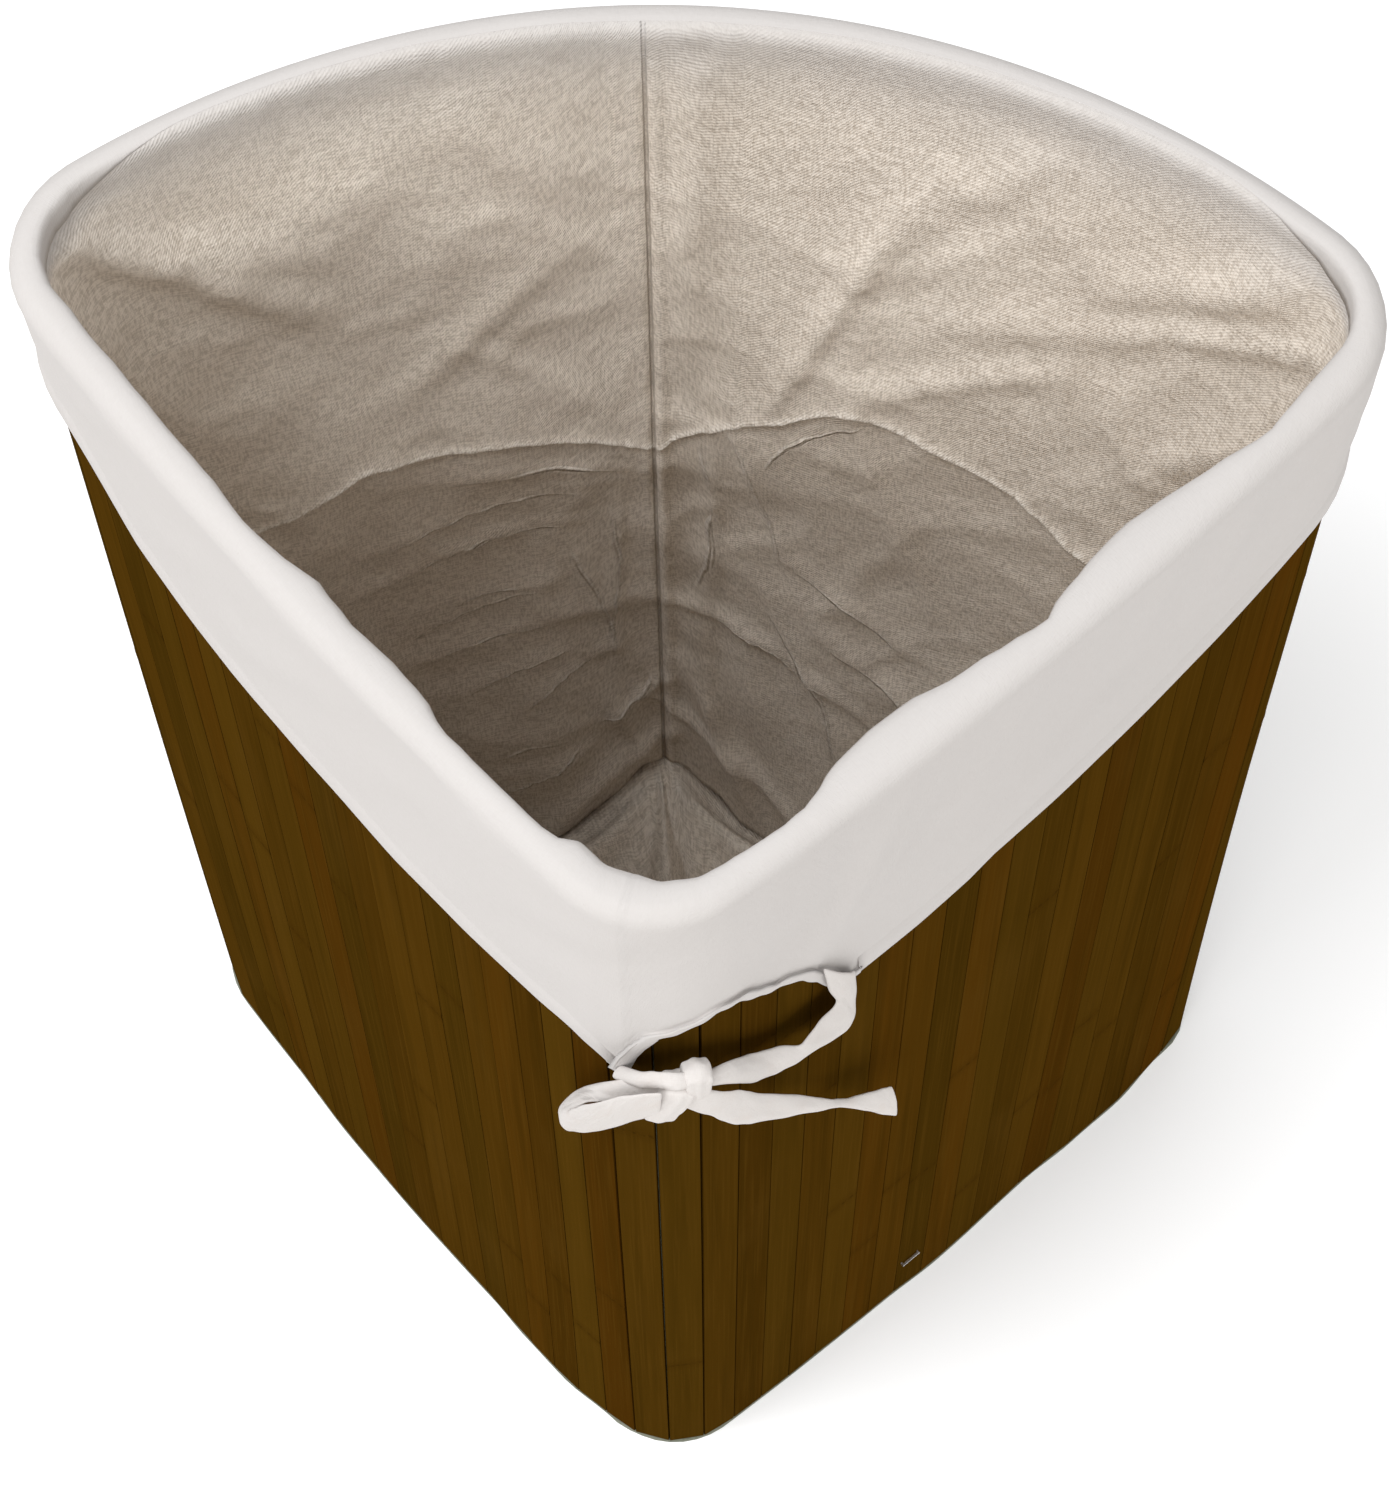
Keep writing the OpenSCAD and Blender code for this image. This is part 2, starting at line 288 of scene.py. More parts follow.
def apply_all(piece):
    """Apply every modifier of a piece."""
    bpy.ops.object.select_all(action="DESELECT")
    piece.select_set(True)
    bpy.context.view_layer.objects.active = piece
    for modifier in list(piece.modifiers):
        bpy.ops.object.modifier_apply(modifier=modifier.name)
    piece.select_set(False)


slat_pitch = half_way / slats_per_half
slat_width = slat_pitch - slat_gap
slat_tall = wall_height - slat_foot
slat_rows = 23
row_gap = slat_tall / (slat_rows + 1)
slat_size = Vector((slat_width, slat_thickness, slat_tall))
bpy.ops.mesh.primitive_cube_add(size=1, location=slat_size / 2, scale=slat_size)
bpy.ops.object.transform_apply(location=True, rotation=False, scale=True)
strip = bpy.context.object
bpy.ops.object.mode_set(mode="EDIT")
shape = bmesh.from_edit_mesh(strip.data)
for edge in shape.edges:
    edge.select = abs(edge.verts[0].co.z - edge.verts[1].co.z) > slat_tall / 2
shape.select_flush_mode()
bpy.ops.mesh.bevel(offset=0.0003, segments=2, affect="EDGES")
shape = bmesh.from_edit_mesh(strip.data)
for edge in shape.edges:
    edge.select = abs(edge.verts[0].co.z - edge.verts[1].co.z) > slat_tall / 2
bpy.ops.mesh.subdivide(number_cuts=slat_rows)
bpy.ops.mesh.select_all(action="DESELECT")
bpy.ops.object.mode_set(mode="OBJECT")
strip.select_set(False)


def attribute(nodes, name, output="Fac"):
    return nodes.make("ShaderNodeAttribute", {"attribute_name": name}, {}, output)


bamboo, nodes, shader = new_material("stained_bamboo", 0.5, 0.0)
spot = object_place(nodes)
tone = attribute(nodes, "tone")
warmth = attribute(nodes, "warmth")
knot_at = attribute(nodes, "knot_at")
height = spot.part(2)
own_shift = nodes.make("ShaderNodeCombineXYZ", {},
                       {"X": tone * 3.0, "Y": warmth * 5.0, "Z": tone * 7.0})
shifted = nodes.make("ShaderNodeVectorMath", {"operation": "ADD"}, {0: spot, 1: own_shift})
fibre = shifted.stretched((900, 900, 9)).speckle(1.0, 3.0, 0.6)
streak = shifted.stretched((160, 160, 4)).speckle(1.0)
cloud = shifted.stretched((30, 30, 9)).speckle(1.0, 3.0, 0.55)
plain = tone.tint((0.042, 0.0205, 0.0018, 1), (0.064, 0.031, 0.0028, 1))
stained = (warmth * 0.55).tint(plain, (0.072, 0.0235, 0.0016, 1))
streaked = (streak.band(0.42, 0.75) * 0.4).tint(stained, (0.030, 0.0150, 0.0012, 1))
grained = (fibre.band(0.45, 0.72) * 0.4).tint(streaked, (0.082, 0.039, 0.0045, 1))
worn = (cloud.band(0.5, 0.8) * 0.3).tint(grained, (0.074, 0.036, 0.005, 1))
knot_gap = (height - knot_at).size()
knot_line = 1 - knot_gap.band(0.0006, 0.0022)
knot_halo = 1 - knot_gap.band(0.002, 0.011)
dashes = spot.stretched((700, 700, 500)).speckle(1.0)
knotted = (knot_line * dashes.band(0.4, 0.7) * 0.4).tint(
    (knot_halo * 0.25).tint(worn, (0.040, 0.017, 0.0015, 1)), (0.018, 0.008, 0.001, 1))
wire(nodes, shader, "Base Color", knotted)
wire(nodes, shader, "Roughness", fibre * 0.2 + 0.36 + knot_halo * 0.1)
wire(nodes, shader, "Normal",
     bump(nodes, fibre * 0.7 + streak * 0.6 + knot_line * dashes * 0.8, 0.0002, 0.7))


def face_out(piece, angle):
    """Turn a piece's faces outwards and smooth its edges flatter than this angle."""
    piece.select_set(True)
    bpy.context.view_layer.objects.active = piece
    bpy.ops.object.mode_set(mode="EDIT")
    bpy.ops.mesh.select_all(action="SELECT")
    bpy.ops.mesh.normals_make_consistent(inside=False)
    bpy.ops.object.mode_set(mode="OBJECT")
    bpy.ops.object.shade_smooth_by_angle(angle=math.radians(angle))
    piece.select_set(False)


draw = random.Random(41)
# The four rows of a slat that its knot draws near, and how far above or below the knot they lie
knot_rows = {-1: -0.005, 0: -0.0012, 1: 0.0012, 2: 0.005}
wall_parts = [("left_front", -9, 0), ("left_rear", -20, -9), ("right_front", 0, 9),
              ("right_rear", 9, 20), ("back_left", -37, -20), ("back_right", 20, 37)]
for part, first_slat, end_slat in wall_parts:
    copies = []
    for number in range(first_slat, end_slat):
        copy = strip.copy()
        copy.data = strip.data.copy()
        scene.collection.objects.link(copy)
        knot_height = draw.uniform(0.06, 0.50)
        ridge = draw.uniform(0.00008, 0.0002)
        knot_row = round((knot_height - slat_foot) / row_gap)
        own_tilt = draw.uniform(-0.00018, 0.00018)
        start = on_wall(number * slat_pitch, 0, 0)
        end = on_wall((number + 1) * slat_pitch, 0, 0)
        across = (end - start).normalized()
        inset = ((end - start).length - slat_width) / 2
        outward = Vector((across.y, -across.x, 0))
        for vertex in copy.data.vertices:
            x, y, z = vertex.co
            row = round(z / row_gap)
            near = knot_rows.get(row - knot_row)
            raised = 0.0
            if near is not None and 0 < row < slat_rows + 1:
                z = knot_height - slat_foot + near
                raised = ridge if abs(near) < 0.002 and y > slat_thickness / 2 else 0.0
            here = (number + x / slat_width) * slat_pitch
            out = y + foot_wave(here, z) + raised + own_tilt * (x / slat_width - 0.5)
            up = Vector((0, 0, z + slat_foot))
            vertex.co = start + across * (inset + x) + outward * out + up
        for label, value in (("tone", draw.random()), ("warmth", draw.random() ** 2.2),
                             ("knot_at", knot_height)):
            layer = copy.data.attributes.new(label, "FLOAT", "POINT")
            layer.data.foreach_set("value", [value] * len(copy.data.vertices))
        copies.append(copy)
    for copy in copies:
        copy.select_set(True)
    bpy.context.view_layer.objects.active = copies[0]
    bpy.ops.object.join()
    wall = bpy.context.object
    wall.name = "bamboo_" + part
    face_out(wall, 50)
    wall.data.materials.append(bamboo)
    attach(wall, "shell")
    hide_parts("slats_" + part)
bpy.data.objects.remove(strip)

# Backing: one piece of coarse olive cloth that all the slats are stuck to, from foot to rim.
# It shows as a dark line in the seams, and all over inside once the liner is out.


def spread_columns(step, extra=()):
    """Places along the wall: even steps, with finer (from, to, step) stretches."""
    places = set()
    count = round(2 * half_way / step)
    for i in range(count):
        place = -half_way + i * 2 * half_way / count
        if not any(low - step / 2 < place < high + step / 2 for low, high, fine in extra):
            places.add(round(place, 6))
    for low, high, fine in extra:
        count = round((high - low) / fine)
        for i in range(count + 1):
            places.add(round(low + (high - low) * i / count, 6))
    return sorted(places)


def net(name, columns, ring):
    """Mesh of quads through equal columns of points, with UVs in metres along the cloth."""
    mesh = bpy.data.meshes.new(name)
    rows = len(columns[0])
    count = len(columns)
    faces = []
    for i in range(count if ring else count - 1):
        j = (i + 1) % count
        for k in range(rows - 1):
            faces.append((i * rows + k, j * rows + k, j * rows + k + 1, i * rows + k + 1))
    mesh.from_pydata([p for column in columns for p in column], [], faces)
    middle = rows // 2
    runs = [0.0]
    for i in range(count):
        runs.append(runs[-1] + (columns[(i + 1) % count][middle] - columns[i][middle]).length)
    rises = []
    for column in columns:
        rise = [0.0]
        for low, high in zip(column, column[1:]):
            rise.append(rise[-1] + (high - low).length)
        rises.append(rise)
    layer = mesh.uv_layers.new(name="cloth")
    places = []
    for polygon in mesh.polygons:
        i = polygon.vertices[0] // rows
        for turn, vertex in enumerate(polygon.vertices):
            u = runs[i + 1] if turn in (1, 2) else runs[i]
            places += [u, rises[vertex // rows][vertex % rows]]
    layer.data.foreach_set("uv", places)
    piece = bpy.data.objects.new(name, mesh)
    scene.collection.objects.link(piece)
    return piece


def thicken(piece, thickness, offset=-1.0):
    """Give a sheet its thickness, then smooth it."""
    wall = piece.modifiers.new("thickness", "SOLIDIFY")
    wall.thickness = thickness
    wall.offset = offset
    apply_all(piece)
    bpy.context.view_layer.objects.active = piece
    piece.select_set(True)
    bpy.ops.object.shade_smooth()
    piece.select_set(False)


slat_columns = [-half_way + i * slat_pitch for i in range(2 * slats_per_half)]
backing_out = -0.00006
backing_gaps = 24
backing_rows = [slat_foot + (wall_height - slat_foot) * i / backing_gaps
                for i in range(backing_gaps + 1)]
backing_columns = [[on_wall(s, backing_out + foot_wave(s, z), z) for z in backing_rows]
                   for s in slat_columns]
backing = net("backing_cloth", backing_columns, True)
thicken(backing, 0.0008)


def threads(cloth, along, across, detail=2.0, roughness=0.5):
    """Weft and warp: two noises, each drawn out along its own thread."""
    weft = cloth.stretched((along, across, 1)).speckle(1.0, detail, roughness)
    warp = cloth.stretched((across, along, 1)).speckle(1.0, detail, roughness)
    return weft, warp


def cloth_place(nodes):
    return nodes.make("ShaderNodeUVMap", {"uv_map": "cloth"}, {})


olive_cloth, nodes, shader = new_material("olive_cloth", 0.9, 0.1)
cloth = cloth_place(nodes)
weft, warp = threads(cloth, 260, 1500, 1.0)
glue = cloth.speckle(14.0, 3.0)
wire(nodes, shader, "Base Color", (glue.band(0.45, 0.7) * 0.5).tint(
    weft.tint((0.075, 0.072, 0.045, 1), (0.13, 0.125, 0.085, 1)), (0.055, 0.05, 0.028, 1)))
wire(nodes, shader, "Normal", bump(nodes, weft + warp, 0.0003, 0.8))
backing.data.materials.append(olive_cloth)
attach(backing, "shell")
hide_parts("backing")

# Edge tapes and hoops: grey-green tape folded round the mat's foot, the same tape inside its top,
# and two flat spring-steel bands, under the tape at the rim and just above the foot.
band_step = 0.006


def band_round(name, inner, outer, low, high, corner):
    """A flat band that follows the waved foot of the walls all the way round."""
    section = [(inner, low + corner), (inner + corner, low), (outer - corner, low),
               (outer, low + corner), (outer, high - corner), (outer - corner, high),
               (inner + corner, high), (inner, high - corner)]
    mesh = bpy.data.meshes.new(name)
    points = []
    faces = []
    columns = spread_columns(band_step)
    for s in columns:
        points += [on_wall(s, out + foot_wave(s, up), up) for out, up in section]
    sides = len(section)
    for i in range(len(columns)):
        j = (i + 1) % len(columns)
        for k in range(sides):
            n = (k + 1) % sides
            faces.append((i * sides + k, i * sides + n, j * sides + n, j * sides + k))
    mesh.from_pydata(points, [], faces)
    band = bpy.data.objects.new(name, mesh)
    scene.collection.objects.link(band)
    face_out(band, 40)
    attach(band, "shell")
    return band


tape_cloth, nodes, shader = new_material("tape_cloth", 0.85, 0.15)
spot = object_place(nodes)
cord = spot.stretched((600, 600, 2600)).speckle(1.0)
dust = spot.speckle(40.0, 3.0)
wire(nodes, shader, "Base Color", (dust.band(0.4, 0.8) * 0.6).tint(
    cord.tint((0.11, 0.115, 0.08, 1), (0.21, 0.22, 0.17, 1)), (0.30, 0.30, 0.25, 1)))
wire(nodes, shader, "Normal", bump(nodes, cord, 0.0003, 0.8))
foot_tape = band_round("foot_binding", -0.0031, 0.0021, 0.0, 0.0029, 0.0005)
foot_tape.data.materials.append(tape_cloth)
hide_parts("foot_tape")


def dress(node_name, material):
    """Give a node that keeps its plain shape a material of its own."""
    skins = bpy.data.objects[node_name].data.materials
    skins.clear()
    skins.append(material)


dress("top_tape", tape_cloth)

hoop_steel, nodes, shader = new_material("hoop_steel", 0.35, 0.5, 1.0)
spot = object_place(nodes)
drawn = spot.stretched((20, 20, 1800)).speckle(1.0)
stain = spot.speckle(25.0, 4.0)
wire(nodes, shader, "Base Color", stain.band(0.5, 0.75).tint(
    drawn.tint((0.42, 0.42, 0.43, 1), (0.6, 0.6, 0.61, 1)), (0.33, 0.29, 0.25, 1)))
wire(nodes, shader, "Roughness", drawn * 0.25 + stain * 0.2 + 0.15)
wire(nodes, shader, "Normal", bump(nodes, drawn, 0.0001, 0.5))
low_hoop = band_round("foot_hoop", -0.0030, -0.0017, 0.003, 0.013, 0.0003)
low_hoop.data.materials.append(hoop_steel)
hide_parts("hoop_foot")
dress("hoop_top", hoop_steel)

# Staple: one bright wire staple, driven from outside through a slat of the right wall. It
# holds the cloth tape that the base board turns on.
staple_zinc, nodes, shader = new_material("staple_zinc", 0.3, 0.5, 1.0)
spot = object_place(nodes)
scuff = spot.speckle(900.0, 3.0)
wire(nodes, shader, "Base Color", scuff.tint((0.5, 0.5, 0.5, 1), (0.78, 0.78, 0.8, 1)))
wire(nodes, shader, "Roughness", scuff * 0.3 + 0.15)
wire(nodes, shader, "Normal", bump(nodes, scuff, 0.00005, 0.5))
dress("staple", staple_zinc)

# Base board: 3 mm hardboard in a cloth sleeve. It lies on the floor inside the walls and folds up
# along the cloth tape that is stapled to the right wall.
hardboard, nodes, shader = new_material("hardboard", 0.6, 0.3)
spot = object_place(nodes)
pulp = spot.stretched((500, 500, 2500)).speckle(1.0, 4.0, 0.7)
wire(nodes, shader, "Base Color", pulp.tint((0.20, 0.12, 0.06, 1), (0.42, 0.29, 0.17, 1)))
wire(nodes, shader, "Normal", bump(nodes, pulp, 0.0003, 0.6))
dress("base_board", hardboard)
plain_cloth, nodes, shader = new_material("sleeve_cloth", 0.9, 0.1)
spot = object_place(nodes)
thread_x = spot.stretched((2200, 300, 300)).speckle(1.0)
thread_y = spot.stretched((300, 2200, 2200)).speckle(1.0)
fold = spot.speckle(9.0, 3.0)
wire(nodes, shader, "Base Color", (fold * 0.5).tint(
    (thread_x * thread_y * 2.0).tint((0.55, 0.52, 0.46, 1), (0.72, 0.69, 0.63, 1)),
    (0.50, 0.47, 0.42, 1)))
wire(nodes, shader, "Normal", bump(nodes, thread_x + thread_y + fold, 0.0004, 0.7))
for name in ("board_cover", "hinge_tape"):
    dress(name, plain_cloth)

# Bag: unbleached cotton twill, sewn up the back and round the bottom. It hangs from the rim,
# keeps the fold line of its packing half way down, and gathers up where its two seams meet.
bag_out = -0.0056
bag_top = 0.6300
twill_thickness = 0.0007
seam_back = -0.024
fold_line = [(-260, 385), (-175, 412), (-150, 427), (-24, 396), (60, 458), (135, 424),
             (160, 404), (260, 365)]
fold_depth = [(-330, 8), (-230, 16), (-160, 25), (-24, 19), (60, 31), (150, 26), (230, 14),
              (330, 8)]
foot_inset = [(-330, 3), (-160, 8), (-80, 20), (-50, 11), (-25, 2), (0, 9), (18, 20), (70, 44),
              (160, 46), (230, 20), (330, 3)]
# Rows of the cloth close above and below the fold line
pressed_step = (-0.003, -0.0011, 0.0, 0.0011, 0.003)
# Soft folds: from (across, up) to (across, up), width, height inwards, all in millimetres
soft_folds = [(-6, 640, -10, 480, 8, 3.2), (60, 540, 28, 450, 5, 4.0),
              (84, 590, 60, 540, 10, 3.0), (-24, 380, -20, 120, 7, 2.0),
              (-115, 392, -36, 378, 2.5, 1.6), (-150, 350, -60, 362, 2.5, 1.5),
              (-160, 312, -84, 330, 2.5, 1.5), (-140, 250, -80, 270, 3, 1.6),
              (-46, 128, -30, 60, 6, 4.0), (-8, 210, 6, 60, 7, 4.0), (16, 200, 34, 70, 8, 3.0),
              (10, 420, 34, 300, 4, 2.2), (-210, 600, -150, 560, 10, 2.5),
              (60, 450, 100, 300, 6, 2.5), (-60, 300, -40, 180, 4, 2.0),
              (-100, 480, -60, 440, 6, 2.0), (-60, 520, -110, 470, 7, 2.2),
              (-130, 225, -70, 232, 2.5, 1.6), (-118, 180, -66, 200, 2.5, 1.6),
              (-90, 150, -50, 190, 3, 2.0), (-40, 330, -44, 200, 3, 1.8),
              (2, 400, -2, 250, 3, 1.8), (20, 395, 60, 452, 2.5, 1.2),
              (40, 300, 90, 250, 4, 2.0), (60, 240, 110, 180, 4, 2.0),
              (30, 250, 70, 120, 4, 2.6), (-24, 150, -50, 110, 3, 2.6),
              (-60, 90, -100, 60, 4, 2.4), (-245, 585, -215, 500, 9, 3.5),
              (210, 610, 150, 560, 10, 2.5), (235, 560, 190, 480, 9, 3.0),
              (-90, 610, -60, 560, 9, 2.0), (120, 620, 96, 585, 8, 2.2),
              (172, 551, 246, 606, 5.5, 4.2), (192, 590, 220, 636, 9, 4.0),
              (232, 533, 195, 491, 6, 3.4), (73, 471, 133, 504, 7, 3.0),
              (100, 520, 160, 540, 9, 2.4), (-238, 630, -164, 541, 9, 6.0),
              (-7, 236, 63, 187, 4, 3.2), (-26, 84, -84, 14, 7, 5.0), (-8, 150, 22, 30, 5, 5.0),
              (-20, 120, 52, 40, 5, 4.0), (-121, 327, -64, 328, 2.5, 1.6),
              (-116, 272, -88, 276, 2.5, 1.6), (-109, 104, -72, 108, 2.5, 1.6)]


def straight(value, knots):
    """Straight lines through (place, height) knots."""
    for (a, low), (b, high) in zip(knots, knots[1:]):
        if value <= b:
            return low + (high - low) * max(0.0, (value - a) / (b - a))
    return knots[-1][1]


def from_back(along):
    """Distance from the middle of the back wall in millimetres, + to the right."""
    return (half_way - abs(along)) * 1000 * (1 if along >= 0 else -1)


def ridge_at(b, z, ridge):
    """Height at a point of one soft fold, which fades at both ends."""
    b0, z0, b1, z1, width, height = ridge
    run = Vector((b1 - b0, z1 - z0))
    t = (Vector((b - b0, z - z0)) @ run) / run.length_squared
    if t < -0.3 or t > 1.3:
        return 0.0
    off = (Vector((b - b0, z - z0)) - run * t).length / width
    if off > 3:
        return 0.0
    return height * math.exp(-off * off) * max(0.0, 1 - (abs(t - 0.5) / 0.8) ** 3)


def bag_foot_height(b):
    """Height of the bottom seam, which is drawn up where the back seam meets it."""
    return 0.0074 + 0.042 * math.exp(-((b + 25) / 27) ** 2)


def bag_depth(along, z):
    """How far the bag's wall stands in from where it would hang straight, in metres."""
    b = from_back(along)
    crease = straight(b, fold_line)
    deep = between(b, fold_depth)
    foot = bag_foot_height(b) * 1000
    height = z * 1000
    depth = 0.0
    if height > crease:
        t = (height - crease) / (bag_top * 1000 - crease)
        depth = deep * (1 - t) ** 1.25
    else:
        t = (crease - height) / (crease - foot)
        depth = deep * (1 - t) ** 1.15 + between(b, foot_inset) * t ** 2.2
    place = on_wall(along, 0, z)
    edge = min(1.0, (bag_top - z) / 0.05) * min(1.0, (z - foot / 1000) / 0.05 + 0.15)
    soft = noise.noise(place * 12) * 3.4 + noise.noise(place * 30 + Vector((3, 1, 7))) * 1.3
    crumple = (1 - abs(noise.noise(place * 17 + Vector((5, 2, 1))))) ** 7 * 1.5
    crumple += (1 - abs(noise.noise(place * 37 + Vector((1, 8, 4))))) ** 7 * 0.7
    depth += (soft + 1.0 + crumple) * max(0.0, edge)
    depth += 1.0 * math.exp(-((height - crease) / 1.5) ** 2) * min(1.0, deep / 15)
    for ridge in soft_folds:
        depth += ridge_at(b, height, ridge)
    off_seam = (b - seam_back * 1000) / 1.6
    depth += -1.5 * math.exp(-off_seam * off_seam) + 1.6 * math.exp(-((b + 20.5) / 3.0) ** 2)
    return max(0.0, depth) / 1000


seam_along = -(half_way + seam_back)
seam_from = seam_along - 0.008
seam_to = seam_along + 0.016
fold_step = 0.0036
bag_columns = spread_columns(0.0055, [(seam_from, seam_to, 0.0009),
                                      (-half_way, seam_from, fold_step),
                                      (seam_to, -0.375, fold_step),
                                      (0.375, half_way - fold_step, fold_step)])
rows_below = 74
rows_above = 56
rim_crown = 0.6528
# Millimetres that the inner edge of the rolled rim stands in (-) of the walls' outline
roll_edge = [(-569, -6), (-400, -5.5), (-345, -4.8), (-322, -4.6), (-309, -5), (-286, -7.1),
             (-270, -6.1), (-261, -6.8), (-225, -6.2), (-207, -6.5), (-187, -4.4), (-170, -5.9),
             (-155, -9.6), (-137, -7.7), (-118, -8.8), (-101, -8.2), (-95, -6.4), (-91, -4.4),
             (-80, -4.6), (-62, -4.4), (-43, -4.4), (-38, -5), (-32, -10.1), (-22, -9.9),
             (-5, -11), (5, -8.9), (18, -7.1), (29, -5.8), (40, -4.8), (51, -4.4), (60, -5),
             (69, -7.9), (78, -11.6), (95, -14), (113, -13.4), (120, -10.5), (140, -8.6),
             (160, -4.8), (166, -7.9), (186, -12), (203, -14), (225, -10.9), (242, -7.8),
             (256, -4.4), (262, -4.4), (277, -7), (293, -8.2), (309, -6), (321, -4.6),
             (345, -4.8), (400, -5.5), (569, -6)]


def rim_roll(s):
    """Cross-section of the liner over the rim, from outside to inside, as (out, up)."""
    back = abs(from_back(s))
    top_out = 0.0058 + 0.0016 * math.exp(-(back / 140) ** 2)
    inner = straight(s * 1000, roll_edge) / 1000
    inner += noise.noise(Vector((s * 130, 1.0, 0.0))) * 0.0007
    crown = rim_crown + noise.noise(Vector((s * 34, 7.0, 0.0))) * 0.0005
    fat = max(0.0, -inner - 0.006)
    return [(top_out + 0.0001, 0.6458), (top_out - 0.0006, 0.6485), (top_out - 0.002, 0.6508),
            (top_out - 0.0045, crown - 0.0004), (0.0, crown), (inner * 0.35, crown - 0.0001),
            (inner * 0.65, crown - 0.0006 - fat * 0.06),
            (inner * 0.88, crown - 0.0021 - fat * 0.12),
            (inner, 0.6472 - fat * 0.25), (inner * 0.97, 0.6425 - fat * 0.5),
            (inner * 0.85 - 0.0008, 0.6375 - fat * 0.6)]


crown_at = 4
past_folds = 700.0
# How white the cloth is from the roll's lower lip to its end, at the back and at the front
rim_white = [(0.55, 1), (0.65, 1), (0.75, 1), (0.85, 1), (0.85, 1), (0.95, 0.95), (1, 1), (1, 1)]
columns = []
fold_wear_and_highlight = []
at_rim = []
press_place = []
for s in bag_columns:
    b = from_back(s)
    foot = bag_foot_height(b)
    crease = straight(b, fold_line) / 1000
    below = crease + pressed_step[0]
    levels = [foot + (below - foot) * (i / rows_below) for i in range(rows_below)]
    levels += [crease + step for step in pressed_step]
    above = crease + pressed_step[-1]
    levels += [above + (bag_top - above) * (i / rows_above) for i in range(1, rows_above + 1)]
    column = [on_wall(s, bag_out - bag_depth(s, z), z) for z in levels]
    roll = rim_roll(s)
    front = between(abs(s) * 1000, [(300, 1), (380, 0)])
    for z in levels:
        # Painted highlight mask: how close each row lies to the fold line, which the cloth is
        # painted paler by
        crease_wear_and_highlight = math.exp(-((z - crease) / 0.0016) ** 2) * min(1.0, between(b, fold_depth) / 15)
        fold_wear_and_highlight.append(crease_wear_and_highlight)
        press_place += [b, z * 1000, 0.0]
        at_rim.append(max(0.0, (z - 0.60) / 0.06) ** 1.5 * (1 - front))
    for back_white, front_white in rim_white:
        fold_wear_and_highlight.append(0.0)
        press_place += [b, past_folds, 0.0]
        at_rim.append(back_white + (front_white - back_white) * front)
    column += [on_wall(s, out, z) for out, z in reversed(roll[crown_at:])]
    column.append(on_wall(s, 0.0012, roll[crown_at][1] - 0.0003))
    columns.append(column)
bag_foot = [column[0].copy() for column in columns]
bag_walls = net("bag_walls", columns, True)
for label, values in (("fold_wear_and_highlight", fold_wear_and_highlight), ("at_rim", at_rim)):
    layer = bag_walls.data.attributes.new(label, "FLOAT", "POINT")
    layer.data.foreach_set("value", values)
layer = bag_walls.data.attributes.new("press_place", "FLOAT_VECTOR", "POINT")
layer.data.foreach_set("vector", press_place)
thicken(bag_walls, twill_thickness, 1.0)

twill, nodes, shader = new_material("unbleached_twill", 0.85, 0.1)
cloth = cloth_place(nodes)
weft, warp = threads(cloth, 170, 1000, 3.0, 0.65)
crease_wear_and_highlight = attribute(nodes, "fold_wear_and_highlight")
at_rim = attribute(nodes, "at_rim")
across = cloth.part(0)
up_cloth = cloth.part(1)
twill_line = nodes.math("SINE", (across + up_cloth) * 3900.0) * 0.5 + 0.5
slub = cloth.stretched((60, 700, 1)).speckle(1.0, 2.0, 0.6)
fleck = cloth.speckle(520.0, 2.0, 0.6)
patch = cloth.speckle(11.0, 3.0)
crumple = cloth.speckle(42.0, 3.0, 0.6)
natural = (patch * 0.6).tint((0.84, 0.765, 0.68, 1), (0.78, 0.695, 0.60, 1))
press_at = attribute(nodes, "press_place", "Vector")
sway = cloth.speckle(13.0) * 16.0 - 8.0
seam_off = press_at.part(0) - seam_back * 1000
seam_line = seam_off.size().band(1.1, 0.3)
lines = cloth.speckle(6.0, 1.0) * 0.1
# Each narrow fold has a sharp pressed line along it, which wanders and bows a little. These lines
# are painted paler as a painted highlight of their ridges, and also raise the bump
for b0, z0, b1, z1, width, height in soft_folds:
    if width < 5:
        run = Vector((b1 - b0, z1 - z0, 0))
        gone = nodes.make("ShaderNodeVectorMath", {"operation": "SUBTRACT"},
                          {0: press_at, 1: Vector((b0, z0, 0))})
        along = nodes.make("ShaderNodeVectorMath", {"operation": "DOT_PRODUCT"},
                           {0: gone, 1: run / run.length_squared}, "Value") - 0.5
        aside = Vector((-run.y, run.x, 0)).normalized()
        off = nodes.make("ShaderNodeVectorMath", {"operation": "DOT_PRODUCT"},
                         {0: gone, 1: aside}, "Value")
        bowed = off + sway + along * along * 22.0
        lines = lines + bowed.size().band(1.5, 0.1) * along.size().band(0.55, 0.3)
